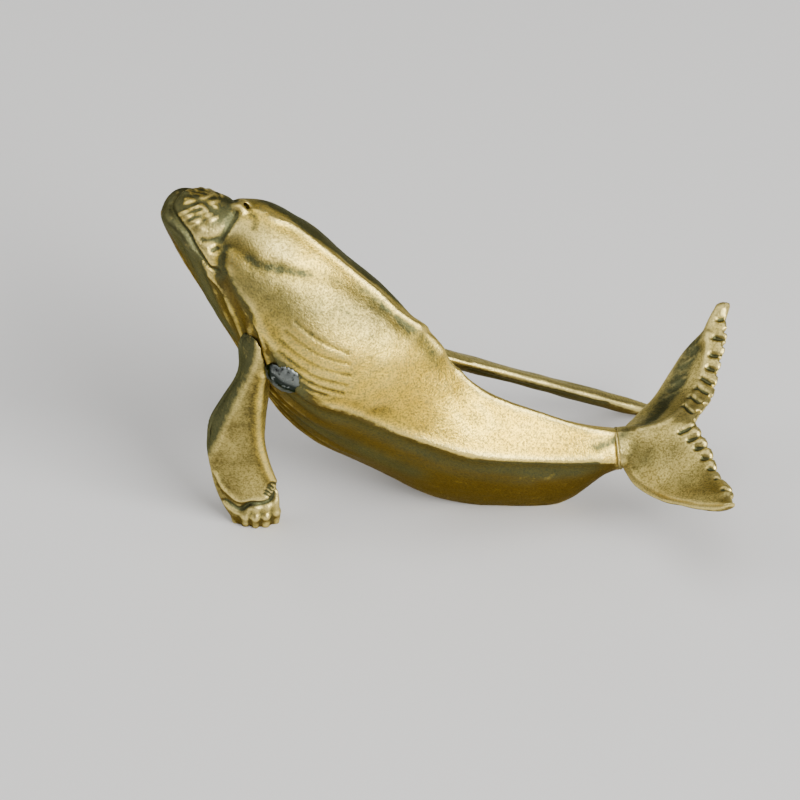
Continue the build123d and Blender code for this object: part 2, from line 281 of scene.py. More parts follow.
# Colours of the solder in the armpits and in the tail's seam, and the black of its flux and painted shade.
DULL_ARMPIT = (0.09, 0.105, 0.098, 1)
BRIGHT_ARMPIT = (0.30, 0.325, 0.31, 1)
DULL_SEAM = (0.36, 0.29, 0.10, 1)
BRIGHT_SEAM = (0.58, 0.47, 0.17, 1)
SOLDER_GLANCE = (0.40, 0.42, 0.38, 1)
BLACK_FLUX_AND_SHADE = (0.016, 0.021, 0.017, 1)

# Sockets of the colour mix, by number.
MIX_SHARE = 0
MIX_FIRST = 6
MIX_SECOND = 7
MIX_RESULT = 2

# The studio, in metres and watts.
Softbox = namedtuple("Softbox", "name place size power")
SOFTBOXES = [
    Softbox("front_softbox", place=(0.50, -0.47, 0.38), size=0.55, power=11.0),
    Softbox("top_softbox", place=(-0.05, -0.05, 0.80), size=0.6, power=2.5),
    Softbox("high_softbox", place=(0.05, -0.60, 0.62), size=0.4, power=0.6),
    Softbox("back_softbox", place=(0.22, 0.58, 0.28), size=0.5, power=0.35),
    Softbox("side_softbox", place=(-0.65, -0.05, 0.60), size=0.5, power=2.0),
    Softbox("rear_softbox", place=(-0.48, 0.50, 0.34), size=0.4, power=0.8),
]
STUDIO_AIR = (0.04, 0.04, 0.042, 1)
FLOOR_COLOUR = (0.80, 0.79, 0.77, 1)
FLOOR_ROUGHNESS = 0.8
FLOOR_HALF = 1.5
CLIP_START = 0.01


def pixel_ray(u, v):
    """Direction from the eye through a pixel of the picture."""
    middle = IMAGE_SIDE / 2
    sideways = view_right * ((u - middle) / view_reach)
    upwards = view_up * ((middle - v) / view_reach)
    return (sideways + upwards - view_back).normalized()


def smooth_stroke(points, steps=8):
    """Dense pixels along a Catmull-Rom curve through a few chosen ones."""
    pts = np.array(points, dtype=float)
    ends = np.vstack([2 * pts[0] - pts[1], pts, 2 * pts[-1] - pts[-2]])
    dense = []
    for before, start, end, after in zip(ends[:-3], ends[1:-2], ends[2:-1], ends[3:]):
        for share in np.linspace(0, 1, steps, endpoint=False):
            bend = 2 * before - 5 * start + 4 * end - after
            turn = 3 * start - before - 3 * end + after
            dense.append(0.5 * (2 * start + (end - before) * share + bend * share**2 + turn * share**3))
    dense.append(pts[-1])
    return np.array(dense)


def mirrored(place):
    """The same place on the other side of the body's middle plane."""
    return place - MIDPLANE_NORMAL * (2 * (place - MIDPLANE_POINT).dot(MIDPLANE_NORMAL))


def smooth_step(values, low, high):
    """0 below low, 1 above high, and a smooth rise between."""
    share = np.clip((values - low) / (high - low), 0, 1)
    return share * share * (3 - 2 * share)


def mesh_tree(mesh):
    """Search tree over a mesh."""
    corners = [vertex.co.copy() for vertex in mesh.vertices]
    return BVHTree.FromPolygons(corners, [list(face.vertices) for face in mesh.polygons])


def weld(mesh, added=None):
    """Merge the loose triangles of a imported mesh, with a mesh that is added to it."""
    bm = bmesh.new()
    bm.from_mesh(mesh)
    if added is not None:
        bm.from_mesh(added)
    bmesh.ops.remove_doubles(bm, verts=bm.verts, dist=WELD_DISTANCE)
    bm.to_mesh(mesh)
    bm.free()


class Casting:
    """A remeshed copy of a solid that is carved and raised before it becomes a piece."""

    def __init__(self, node, name, grain, relax, tarnish_and_shade=0.0, added=None):
        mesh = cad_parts[node].data.copy()
        self.node = node
        self.piece = bpy.data.objects.new(name, mesh)
        bpy.context.scene.collection.objects.link(self.piece)
        weld(mesh, added)
        self.remesh(grain)
        self.read()
        for _ in range(relax):
            self.points += RELAX_SHARE * (self.neighbour_mean(self.points) - self.points)
        self.write()
        self.tree = mesh_tree(self.piece.data)
        self.relief = np.zeros(len(self.points))
        self.patina_and_shade = np.zeros(len(self.points))
        self.underside_like_film = np.zeros(len(self.points))
        self.tarnish_and_shade = np.full(len(self.points), tarnish_and_shade)

    def remesh(self, grain):
        """Replace the mesh by an even skin over it."""
        skin = self.piece.modifiers.new("skin", "REMESH")
        skin.mode = "VOXEL"
        skin.voxel_size = grain
        skin.adaptivity = 0.0
        graph = bpy.context.evaluated_depsgraph_get()
        made = bpy.data.meshes.new_from_object(self.piece.evaluated_get(graph))
        old = self.piece.data
        self.piece.modifiers.clear()
        self.piece.data = made
        bpy.data.meshes.remove(old)
        made.name = self.piece.name

    def read(self):
        """Take the vertices and the edges out of the mesh."""
        mesh = self.piece.data
        self.points = np.empty(len(mesh.vertices) * 3)
        mesh.vertices.foreach_get("co", self.points)
        self.points = self.points.reshape(-1, 3)
        self.edges = np.empty(len(mesh.edges) * 2, dtype=np.int32)
        mesh.edges.foreach_get("vertices", self.edges)
        self.edges = self.edges.reshape(-1, 2)
        self.valence = np.bincount(self.edges.ravel(), minlength=len(self.points))[:, None]

    def write(self):
        """Put the vertices back and read the new normals."""
        mesh = self.piece.data
        mesh.vertices.foreach_set("co", self.points.ravel())
        mesh.update()
        self.normals = np.empty(len(mesh.vertices) * 3)
        mesh.vertex_normals.foreach_get("vector", self.normals)
        self.normals = self.normals.reshape(-1, 3)

    def neighbour_mean(self, values):
        """Mean of each vertex's neighbours."""
        first, second = self.edges[:, 0], self.edges[:, 1]
        count = len(values)
        columns = []
        for axis in range(values.shape[1]):
            total = np.bincount(first, weights=values[second, axis], minlength=count)
            total += np.bincount(second, weights=values[first, axis], minlength=count)
            columns.append(total)
        return np.stack(columns, 1) / self.valence

    def stroke(self, pixels, both_sides):
        """Lines on the surface under a stroke of pixels, with a twin on the far side if asked."""
        hits = []
        for u, v in smooth_stroke(pixels):
            place, _, _, _ = self.tree.ray_cast(view_eye, pixel_ray(u, v))
            if place is not None:
                hits.append(place)
        lines = [hits]
        if both_sides:
            lines.append([self.tree.find_nearest(mirrored(place))[0] for place in hits])
        return [np.array([tuple(place) for place in line]) for line in lines if len(line) > 1]

    def nearness(self, pixels, width, both_sides=False):
        """1 under a stroke of pixels, falling off to 0 over a width."""
        best = np.full(len(self.points), np.inf)
        for line in self.stroke(pixels, both_sides):
            margin = STROKE_REACH * width
            inside = ((self.points > line.min(0) - margin) & (self.points < line.max(0) + margin)).all(1)
            near = np.flatnonzero(inside)
            places = self.points[near]
            for start, end in zip(line[:-1], line[1:]):
                run = end - start
                share = np.clip((places - start) @ run / max(run @ run, LEAST_STEP), 0, 1)
                gap = places - start - share[:, None] * run
                best[near] = np.minimum(best[near], (gap**2).sum(1))
        return np.exp(-best / width**2)

    def raise_line(self, pixels, width, height, both_sides=False):
        """Raise the surface along a stroke, or sink it where the height is negative."""
        self.relief += self.nearness(pixels, width, both_sides) * height

    def patina_and_shade_line(self, pixels, width, strength, both_sides=False):
        """Leave dark patina along a stroke; some strokes leave painted shade."""
        self.patina_and_shade = np.maximum(self.patina_and_shade, self.nearness(pixels, width, both_sides) * strength)

    def underside_like_line(self, pixels, width, strength, both_sides=False):
        """Give the surface along a stroke the underside's dark brown film."""
        self.underside_like_film = np.maximum(self.underside_like_film, self.nearness(pixels, width, both_sides) * strength)

    def tarnish_and_shade_line(self, pixels, width, strength, both_sides=False):
        """Leave a thin olive tarnish along a stroke; over the upper flank it is tarnish with painted shade.
        """
        self.tarnish_and_shade = np.maximum(self.tarnish_and_shade, self.nearness(pixels, width, both_sides) * strength)

    def picture(self):
        """Pixel of the picture under each vertex."""
        away = self.points - np.array(view_eye)
        depth = -(away @ np.array(view_back))
        middle = IMAGE_SIDE / 2
        u = middle + view_reach * (away @ np.array(view_right)) / depth
        v = middle - view_reach * (away @ np.array(view_up)) / depth
        return u, v

    def ripple(self, size, seed):
        """Smooth random field of about a size, from a sum of waves."""
        random = np.random.default_rng(seed)
        field = np.zeros(len(self.points))
        for _ in range(WAVES):
            direction = random.normal(size=3)
            direction /= np.linalg.norm(direction)
            length = size * random.uniform(*WAVE_SPREAD)
            field += np.sin(self.points @ direction * (2 * pi / length) + random.uniform(0, 2 * pi))
        return field / WAVES**0.5

    def carve(self):
        """Move the surface out along its normals by the relief, inside the box of the solids."""
        self.points += self.normals * self.relief[:, None]
        self.points = np.clip(self.points, cad_box[0], cad_box[1])
        self.write()

    def smoothed(self, places, steps):
        """Places after a number of smoothing steps."""
        for _ in range(steps):
            places = places + SMOOTH_SHARE * (self.neighbour_mean(places) - places)
        return places

    def store_wear(self):
        """Store how hollow, exposed and tarnished each vertex is, its patina and painted shade, and its
        underside film.
        """
        near = self.smoothed(self.points, NEAR_STEPS)
        far = self.smoothed(near, FAR_STEPS)
        near_rise = ((self.points - near) * self.normals).sum(1) / NEAR_FULL
        far_rise = ((near - far) * self.normals).sum(1) / FAR_FULL
        hollow = np.clip(-near_rise, 0, 1) + np.clip(-far_rise, 0, 1)
        exposed = np.clip(near_rise, 0, 1) + FAR_WEAR * np.clip(far_rise, 0, 1)
        self.store("hollow", np.clip(hollow, 0, 1))
        self.store("exposed", np.clip(exposed, 0, 1))
        # The underside's film is real patina, painted shade and a painted warm reflection.
        self.store("underside_patina_shade_and_reflection", np.maximum(smooth_step(-self.normals[:, 2], *UNDERSIDE_FILM_TILT), self.underside_like_film))
        self.store("patina_and_shade", self.patina_and_shade)
        self.store("tarnish_and_shade", self.tarnish_and_shade)

    def store(self, name, values):
        """Store a value on every vertex."""
        layer = self.piece.data.attributes.new(name, "FLOAT", "POINT")
        layer.data.foreach_set("value", values.astype(np.float32))

    def finish(self, material, slot):
        """Hand the piece to the frame in place of its solid."""
        mesh = self.piece.data
        mesh.materials.clear()
        mesh.materials.append(material)
        mesh.shade_smooth()
        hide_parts(self.node)
        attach(self.piece, "root")


def bead_nodes():
    """Node tree that sets a long bead on every point, turned by the point's own angles."""
    tree = bpy.data.node_groups.new("bead_rows", "GeometryNodeTree")
    tree.interface.new_socket("Points", in_out="INPUT", socket_type="NodeSocketGeometry")
    for size in ("Length", "Width", "Height"):
        tree.interface.new_socket(size, in_out="INPUT", socket_type="NodeSocketFloat")
    tree.interface.new_socket("Finish", in_out="INPUT", socket_type="NodeSocketMaterial")
    tree.interface.new_socket("Beads", in_out="OUTPUT", socket_type="NodeSocketGeometry")
    nodes, links = tree.nodes, tree.links
    entry = nodes.new("NodeGroupInput")
    leave = nodes.new("NodeGroupOutput")
    bead = nodes.new("GeometryNodeMeshIcoSphere")
    bead.inputs["Radius"].default_value = 1.0
    bead.inputs["Subdivisions"].default_value = 3
    turn = nodes.new("GeometryNodeInputNamedAttribute")
    turn.data_type = "FLOAT_VECTOR"
    turn.inputs["Name"].default_value = "turn"
    swell = nodes.new("GeometryNodeInputNamedAttribute")
    swell.data_type = "FLOAT"
    swell.inputs["Name"].default_value = "swell"
    size = nodes.new("ShaderNodeCombineXYZ")
    scaled = nodes.new("ShaderNodeVectorMath")
    scaled.operation = "SCALE"
    place = nodes.new("GeometryNodeInstanceOnPoints")
    real = nodes.new("GeometryNodeRealizeInstances")
    paint = nodes.new("GeometryNodeSetMaterial")
    links.new(entry.outputs["Length"], size.inputs["X"])
    links.new(entry.outputs["Width"], size.inputs["Y"])
    links.new(entry.outputs["Height"], size.inputs["Z"])
    links.new(size.outputs["Vector"], scaled.inputs[0])
    links.new(swell.outputs["Attribute"], scaled.inputs["Scale"])
    links.new(entry.outputs["Points"], place.inputs["Points"])
    links.new(bead.outputs["Mesh"], place.inputs["Instance"])
    links.new(turn.outputs["Attribute"], place.inputs["Rotation"])
    links.new(scaled.outputs["Vector"], place.inputs["Scale"])
    links.new(place.outputs["Instances"], real.inputs["Geometry"])
    links.new(real.outputs["Geometry"], paint.inputs["Geometry"])
    links.new(entry.outputs["Finish"], paint.inputs["Material"])
    links.new(paint.outputs["Geometry"], leave.inputs["Beads"])
    return tree


def bead_mesh(dashes, sizes):
    """Mesh of beads, one on each dash (place, direction, normal, swell)."""
    tree = bead_nodes()
    mesh = bpy.data.meshes.new("bead_points")
    mesh.from_pydata([tuple(place) for place, _, _, _ in dashes], [], [])
    turns = []
    for _, along, normal, _ in dashes:
        side = normal.cross(along).normalized()
        turns.extend(Matrix((along, side, normal)).transposed().to_euler())
    mesh.attributes.new("turn", "FLOAT_VECTOR", "POINT").data.foreach_set("vector", turns)
    swells = [swell for _, _, _, swell in dashes]
    mesh.attributes.new("swell", "FLOAT", "POINT").data.foreach_set("value", swells)
    holder = bpy.data.objects.new("bead_points", mesh)
    bpy.context.scene.collection.objects.link(holder)
    modifier = holder.modifiers.new("beads", "NODES")
    modifier.node_group = tree
    for item in tree.interface.items_tree:
        if item.in_out == "INPUT" and item.name in sizes:
            modifier[item.identifier] = sizes[item.name]
    graph = bpy.context.evaluated_depsgraph_get()
    made = bpy.data.meshes.new_from_object(holder.evaluated_get(graph))
    bpy.data.objects.remove(holder)
    return made


def snout_tubercles(finish):
    """Rows of long knobs across both sides of the upper jaw."""
    tree = mesh_tree(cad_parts["body_casting"].data)
    dashes = []
    for start, end in SNOUT_TUBERCLES:
        first, _, _, _ = tree.ray_cast(view_eye, pixel_ray(*start))
        last, _, _, _ = tree.ray_cast(view_eye, pixel_ray(*end))
        for head, tail in ((first, last), (mirrored(first), mirrored(last))):
            place, normal, _, _ = tree.find_nearest((head + tail) * 0.5)
            along = (tail - head) - normal * (tail - head).dot(normal)
            swell = along.length / (2 * TUBERCLE_LENGTH)
            dashes.append((place, along.normalized(), normal, float(np.clip(swell, *TUBERCLE_SWELL))))
    sizes = {"Length": TUBERCLE_LENGTH, "Width": TUBERCLE_WIDTH, "Height": TUBERCLE_HEIGHT, "Finish": finish}
    return bead_mesh(dashes, sizes)


def beside(body):
    """How far each vertex lies from the body's middle plane, more than 0 on the far side."""
    return (body.points - np.array(MIDPLANE_POINT)) @ np.array(MIDPLANE_NORMAL)


def carve_head(body):
    """Mouth, folds, hollows and eyes, the same on both sides."""
    body.raise_line(MOUTH_LINE, width=0.30 * MM, height=-0.36 * MM, both_sides=True)
    body.raise_line(LOWER_LIP, width=0.45 * MM, height=0.12 * MM, both_sides=True)
    body.raise_line(SNOUT_FOLD, width=0.50 * MM, height=-0.34 * MM, both_sides=True)
    body.raise_line(BROW_VALLEY, width=1.2 * MM, height=-0.28 * MM, both_sides=True)
    body.raise_line(CHEEK_HOLLOW, width=1.2 * MM, height=-0.50 * MM, both_sides=True)
    body.raise_line(THROAT_FOLD, width=0.30 * MM, height=0.22 * MM, both_sides=True)
    body.raise_line(EYE_SPOT, width=0.34 * MM, height=-0.26 * MM, both_sides=True)
    body.raise_line(GUARD_DENT, width=0.55 * MM, height=-0.10 * MM)
    body.patina_and_shade_line(SNOUT_STAIN, width=1.7 * MM, strength=1.4, both_sides=True)
    body.patina_and_shade_line(SNOUT_SHADE, width=1.2 * MM, strength=1.3, both_sides=True)
    body.patina_and_shade_line(JAW_STAIN, width=1.4 * MM, strength=1.6, both_sides=True)
    # Painted shade in the brow valley.
    body.patina_and_shade_line(BROW_VALLEY, width=0.6 * MM, strength=0.5, both_sides=True)
    body.patina_and_shade_line(BROW_SHADE, width=0.75 * MM, strength=1.0, both_sides=True)
    body.patina_and_shade_line(LIP_STAIN, width=0.8 * MM, strength=1.3, both_sides=True)
    # Painted shade in the cheek hollow.
    body.patina_and_shade_line(CHEEK_PAINTED_SHADE, width=0.8 * MM, strength=0.9, both_sides=True)
    # The throat takes the underside's dark brown film.
    body.underside_like_line(THROAT_UNDERSIDE_FILM, width=1.3 * MM, strength=1.0, both_sides=True)
    body.patina_and_shade_line(EYE_SPOT, width=0.25 * MM, strength=1.0, both_sides=True)
    for knob in SNOUT_TUBERCLES:
        body.patina_and_shade *= 1 - TUBERCLE_POLISH * body.nearness(knob, width=TUBERCLE_WIDTH, both_sides=True)


def carve_trunk(body):
    """Ridges, flank edges and wrinkles, with the patina and painted shade along them."""
    body.raise_line(BACK_RIDGE, width=0.45 * MM, height=0.22 * MM)
    body.raise_line(REAR_RIDGE, width=0.40 * MM, height=0.20 * MM)
    body.raise_line(HUMP_TOP, width=0.9 * MM, height=0.35 * MM)
    body.raise_line(FLANK_EDGE, width=0.70 * MM, height=0.16 * MM, both_sides=True)
    body.raise_line(FLANK_UNDERCUT, width=1.3 * MM, height=-0.18 * MM)
    body.raise_line(LOIN_FACET, width=1.2 * MM, height=-0.16 * MM)
    body.raise_line(CREST_SHADE, width=1.1 * MM, height=-0.14 * MM)
    body.raise_line(TAIL_SEAM, width=0.25 * MM, height=0.12 * MM)
    for wrinkle in FLANK_WRINKLES:
        body.raise_line(wrinkle, width=0.23 * MM, height=-0.07 * MM, both_sides=True)
    # The far side of the back is patina with painted shade, the dark reflection of the surroundings.
    far_side = FAR_SIDE_STRENGTH * smooth_step(beside(body), -FAR_SIDE_FADE, 0.0)
    body.patina_and_shade = np.maximum(body.patina_and_shade, far_side * body.nearness(FAR_SIDE_PATINA_AND_SHADE, width=3.4 * MM))
    # Painted shade along the crest.
    body.patina_and_shade_line(CREST_SHADE, width=1.4 * MM, strength=0.5)
    body.patina_and_shade_line(HUMP_STAIN, width=1.3 * MM, strength=0.8)
    body.patina_and_shade_line(TAIL_STAIN, width=0.7 * MM, strength=1.1)
    # Painted shade under the flank's edge.
    body.patina_and_shade_line(EDGE_PAINTED_SHADE, width=0.35 * MM, strength=0.9)
    body.patina_and_shade_line(ARMPIT_STAIN, width=1.1 * MM, strength=1.0, both_sides=True)
    # Tarnish and stain with painted shade over the upper flank.
    body.tarnish_and_shade_line(FLANK_TARNISH_AND_SHADE, width=4.0 * MM, strength=0.45, both_sides=True)
    body.patina_and_shade_line(FLANK_TARNISH_AND_SHADE, width=3.4 * MM, strength=0.6, both_sides=True)
    # Painted shadow under the front of the belly.
    body.patina_and_shade_line(BELLY_SHADE, width=2.0 * MM, strength=0.9)
    body.tarnish_and_shade_line(HEAD_TARNISH, width=2.5 * MM, strength=0.6, both_sides=True)
    # Painted shade along the undercut below the flank.
    body.patina_and_shade_line(FLANK_UNDERCUT, width=1.4 * MM, strength=0.8)
    body.patina_and_shade_line(BELLY_BAND, width=0.9 * MM, strength=0.4)
    for fleck in FLANK_STAINS:
        body.patina_and_shade_line(fleck, width=0.22 * MM, strength=0.9, both_sides=True)
    guard = body.nearness(GUARD_SHINE, width=1.3 * MM)
    body.patina_and_shade *= 1 - GUARD_POLISH * guard
    body.tarnish_and_shade *= 1 - GUARD_CLEAN * guard
    # Painted shadow in the dent beside the blowhole guard.
    body.patina_and_shade_line(GUARD_DENT, width=0.5 * MM, strength=0.4)


def pleat_throat(body):
    """Long folds from the chin along the throat and the belly."""
    across = beside(body)
    belly_side = smooth_step(-(body.normals @ np.array(BODY_UP)), *THROAT_TILT)
    along = body.points[:, 0]
    throat = smooth_step(along, THROAT_START, THROAT_START + THROAT_FADE_IN)
    throat = throat * (1 - smooth_step(along, THROAT_END - THROAT_FADE_OUT, THROAT_END))
    body.relief += belly_side * throat * np.cos(across * (2 * pi / PLEAT_PITCH)) * PLEAT_DEPTH


def build_body(finish):
    """Body with its head, back, flanks and belly."""
    body = Casting("body_casting", "whale_body", BODY_GRAIN, relax=2, added=snout_tubercles(finish))
    body.relief += BODY_SWELL * body.ripple(size=7 * MM, seed=3)
    body.relief += BODY_ROUGH * body.ripple(size=2.2 * MM, seed=8)
    carve_head(body)
    carve_trunk(body)
    pleat_throat(body)
    body.carve()
    return body


def build_left_flipper():
    """Near flipper: a front facet darkened with painted shade, a broad face with a rim brightened with a
    painted highlight, a cuff and lobes at its end.
    """
    flipper = Casting("left_flipper", "whale_left_flipper", BLADE_GRAIN, relax=3, tarnish_and_shade=0.6)
    flipper.relief += BLADE_SWELL * flipper.ripple(size=4 * MM, seed=11)
    u, v = flipper.picture()
    ridge = smooth_stroke(FLIPPER_RIDGE)
    beyond = (np.interp(v, ridge[:, 1], ridge[:, 0]) - u) / PIXELS_PER_MM * MM
    beyond = np.clip(beyond, 0, FACET_REACH)
    facing = smooth_step(flipper.normals @ np.array(view_back), *FACET_TILT)
    above_cuff = 1 - smooth_step(v, *FACET_FADE)
    sunk = np.hypot(beyond, FACET_ROUND) - FACET_ROUND
    flipper.relief -= sunk * FLIPPER_FACET_SLOPE * facing * above_cuff
    # Painted shade over the front facet.
    flipper.patina_and_shade = FACET_PAINTED_SHADE * smooth_step(beyond, 0.0, FACET_PAINTED_SHADE_WIDTH) * above_cuff
    flipper.raise_line(FLIPPER_RIM, width=0.55 * MM, height=0.30 * MM)
    flipper.raise_line(FLIPPER_CUFF, width=0.30 * MM, height=0.14 * MM)
    flipper.raise_line(FLIPPER_GAP, width=0.34 * MM, height=-0.50 * MM)
    for hatch in CUFF_HATCHES:
        flipper.raise_line(hatch, width=0.15 * MM, height=-0.16 * MM)
        flipper.patina_and_shade_line(hatch, width=0.15 * MM, strength=0.9)
    for lobe in FLIPPER_LOBES:
        flipper.raise_line(lobe, width=0.40 * MM, height=0.14 * MM)
    flipper.patina_and_shade_line(FLIPPER_GAP, width=0.45 * MM, strength=1.0)
    # Painted highlight: the tarnish is taken off the bright rim.
    flipper.tarnish_and_shade *= 1 - flipper.nearness(FLIPPER_RIM, width=0.8 * MM)
    flipper.carve()
    return flipper


def build_right_flipper():
    """Far flipper, drawn out long with lengthwise ribs."""
    flipper = Casting("right_flipper", "whale_right_flipper", BLADE_GRAIN, relax=3, tarnish_and_shade=0.7)
    flipper.relief += BLADE_SWELL * flipper.ripple(size=4 * MM, seed=17)
    flipper.raise_line(FAR_FLIPPER_CREASE, width=0.35 * MM, height=-0.12 * MM)
    flipper.raise_line(FAR_FLIPPER_RIB, width=0.35 * MM, height=0.10 * MM)
    clouds = flipper.ripple(size=FAR_CLOUD_SIZE, seed=19)
    flipper.patina_and_shade = FAR_CLOUD_STAIN * smooth_step(clouds, *FAR_CLOUD_RANGE)
    flipper.patina_and_shade_line(FAR_FLIPPER_CREASE, width=0.45 * MM, strength=0.7)
    flipper.carve()
    return flipper


def build_flukes():
    """Tail flukes: hollow faces, raised rims and notched trailing edges."""
    flukes = Casting("tail_flukes", "whale_tail_flukes", BLADE_GRAIN, relax=2, tarnish_and_shade=0.6)
    blend = flukes.nearness(NECK_FILL, width=1.3 * MM)[:, None]
    flukes.points += blend * (flukes.smoothed(flukes.points, NECK_STEPS) - flukes.points)
    flukes.write()
    flukes.relief += BLADE_SWELL * flukes.ripple(size=3.5 * MM, seed=23)
    flukes.raise_line(NEAR_RIM, width=0.50 * MM, height=0.10 * MM)
    flukes.raise_line(NEAR_HOLLOW, width=1.7 * MM, height=-0.12 * MM)
    flukes.raise_line(NECK_FILL, width=1.0 * MM, height=0.30 * MM)
    flukes.raise_line(NEAR_EDGE, width=0.6 * MM, height=0.40 * MM)
    flukes.raise_line(FAR_TIP, width=0.8 * MM, height=0.45 * MM)
    flukes.raise_line(FAR_CREASE, width=0.45 * MM, height=0.22 * MM)
    flukes.raise_line(FAR_HOLLOW, width=0.9 * MM, height=-0.24 * MM)
    for streak in FAR_STREAKS:
        flukes.raise_line(streak, width=0.24 * MM, height=0.06 * MM)
    for notch in NEAR_NOTCHES + FAR_NOTCHES:
        flukes.raise_line(notch, width=0.30 * MM, height=-0.32 * MM)
        flukes.patina_and_shade_line(notch, width=0.22 * MM, strength=0.75)
    flukes.patina_and_shade_line(FAR_SHADE, width=1.4 * MM, strength=1.0)
    flukes.patina_and_shade_line(TAIL_STAIN, width=0.7 * MM, strength=0.9)
    flukes.patina_and_shade_line(NEAR_HOLLOW, width=1.8 * MM, strength=0.3)
    flukes.raise_line(TAIL_SEAM, width=0.25 * MM, height=0.12 * MM)
    flukes.carve()
    return flukes


def build_solder(joint):
    """Lumpy solder, run in round a joint and a little proud of it, black with painted shade along its lower
    edge.
    """
    solder = Casting(joint.node, joint.piece, SOLDER_GRAIN, relax=5)
    solder.relief += joint.proud + joint.lumps * solder.ripple(size=LUMP_SIZE, seed=joint.seed)
    # Painted shade along the solder's low side beside the flipper.
    solder.patina_and_shade_line(SOLDER_SHADE, width=0.7 * MM, strength=1.3)
    solder.carve()
    solder.store("patina_and_shade", solder.patina_and_shade)
    return solder


def shade(tree, kind, **inputs):
    """New shader node with its inputs set to values or linked to sockets."""
    made = tree.nodes.new(kind)
    for name, value in inputs.items():
        plug(tree, made.inputs[name], value)
    return made


def plug(tree, socket, value):
    """Link a socket to another, or set its value."""
    if isinstance(value, bpy.types.NodeSocket):
        tree.links.new(value, socket)
    else:
        socket.default_value = value


def maths(tree, operation, first, second, clamp=False):
    """Result of one sum, product or comparison in a shader."""
    made = tree.nodes.new("ShaderNodeMath")
    made.operation = operation
    made.use_clamp = clamp
    plug(tree, made.inputs[0], first)
    plug(tree, made.inputs[1], second)
    return made.outputs["Value"]


def mixed(tree, share, first, second):
    """Colour between two colours."""
    made = tree.nodes.new("ShaderNodeMix")
    made.data_type = "RGBA"
    plug(tree, made.inputs[MIX_SHARE], share)
    plug(tree, made.inputs[MIX_FIRST], first)
    plug(tree, made.inputs[MIX_SECOND], second)
    return made.outputs[MIX_RESULT]


def ranged(tree, value, span, to):
    """Value stretched from one range to another and held there."""
    made = tree.nodes.new("ShaderNodeMapRange")
    for socket, given in zip(made.inputs, (value, *span, *to)):
        plug(tree, socket, given)
    return made.outputs["Result"]


def noise(tree, coords, size, detail, roughness):
    """Fractal noise with features of about a size."""
    made = shade(tree, "ShaderNodeTexNoise", Vector=coords, Scale=1 / size)
    made.inputs["Detail"].default_value = detail
    made.inputs["Roughness"].default_value = roughness
    return made.outputs["Fac"]


def attribute(tree, name):
    """Stored value of the piece's own vertices."""
    made = tree.nodes.new("ShaderNodeAttribute")
    made.attribute_name = name
    return made.outputs["Fac"]


def new_material(name):
    """Empty metal, with its tree, its shader and its coordinates."""
    material = bpy.data.materials.new(name)
    material.use_nodes = True
    tree = material.node_tree
    shader = tree.nodes["Principled BSDF"]
    shader.inputs["Metallic"].default_value = 1.0
    return material, tree, shader, tree.nodes.new("ShaderNodeTexCoord").outputs["Object"]


def aged_brass():
    """Pale worn brass with olive patina left in the hollows, patina and painted shade where stored, and a
    dark brown underside of patina, painted shade and a painted warm reflection.
    """
    material, tree, shader, coords = new_material("aged_brass")
    shader.inputs["Specular Tint"].default_value = BRASS_GLANCE
    clouds = noise(tree, coords, size=4.5 * MM, detail=5.0, roughness=0.55)
    flecks = noise(tree, coords, size=0.9 * MM, detail=6.0, roughness=0.65)
    grain = noise(tree, coords, size=0.24 * MM, detail=3.0, roughness=0.65)
    exposed = attribute(tree, "exposed")
    patina_and_shade = attribute(tree, "patina_and_shade")
    worn_off = maths(tree, "MULTIPLY", exposed, ranged(tree, patina_and_shade, span=(0.0, 1.0), to=(0.65, 0.0)))
    underside_patina_shade_and_reflection = attribute(tree, "underside_patina_shade_and_reflection")
    dark = maths(tree, "ADD", attribute(tree, "hollow"), maths(tree, "MULTIPLY", underside_patina_shade_and_reflection, UNDERSIDE_FILM_WEIGHT))
    dark = maths(tree, "ADD", dark, patina_and_shade)
    dark = maths(tree, "MULTIPLY", dark, ranged(tree, flecks, span=(0.3, 0.7), to=(0.6, 1.25)))
    pits = ranged(tree, flecks, span=(0.66, 0.74), to=(0.0, 0.7))
    patina_and_shade_share = maths(tree, "SUBTRACT", maths(tree, "MAXIMUM", dark, pits), worn_off, clamp=True)
    metal = mixed(tree, ranged(tree, clouds, span=(0.3, 0.7), to=(0.0, 1.0)), DULL_BRASS, BRIGHT_BRASS)
    metal = mixed(tree, attribute(tree, "tarnish_and_shade"), metal, OLIVE_TARNISH_AND_SHADE)
    metal = mixed(tree, ranged(tree, grain, span=(0.45, 0.60), to=(0.0, 0.85)), metal, BROWN_GRAIN)
    metal = mixed(tree, maths(tree, "MULTIPLY", exposed, WEAR_TINT), metal, WORN_BRASS)
    green = mixed(tree, clouds, DARK_PATINA_AND_SHADE, PALE_PATINA_AND_SHADE)
    # The brown on the underside is a painted warm reflection from below.
    warm_reflection_share = maths(tree, "SUBTRACT", underside_patina_shade_and_reflection, patina_and_shade, clamp=True)
    film = mixed(tree, warm_reflection_share, green, WARM_REFLECTION_BROWN)
    colour = mixed(tree, maths(tree, "MULTIPLY", patina_and_shade_share, PATINA_AND_SHADE_COVER), metal, film)
    tree.links.new(colour, shader.inputs["Base Color"])
    rough = ranged(tree, grain, span=(0.3, 0.7), to=(0.28, 0.45))
    rough = maths(tree, "ADD", rough, maths(tree, "MULTIPLY", patina_and_shade_share, PATINA_AND_SHADE_ROUGH))
    tree.links.new(rough, shader.inputs["Roughness"])
    height = maths(tree, "ADD", maths(tree, "MULTIPLY", grain, GRAIN_BUMP), flecks)
    bump = shade(tree, "ShaderNodeBump", Strength=1.0, Distance=0.06 * MM, Height=height)
    tree.links.new(bump.outputs["Normal"], shader.inputs["Normal"])
    return material


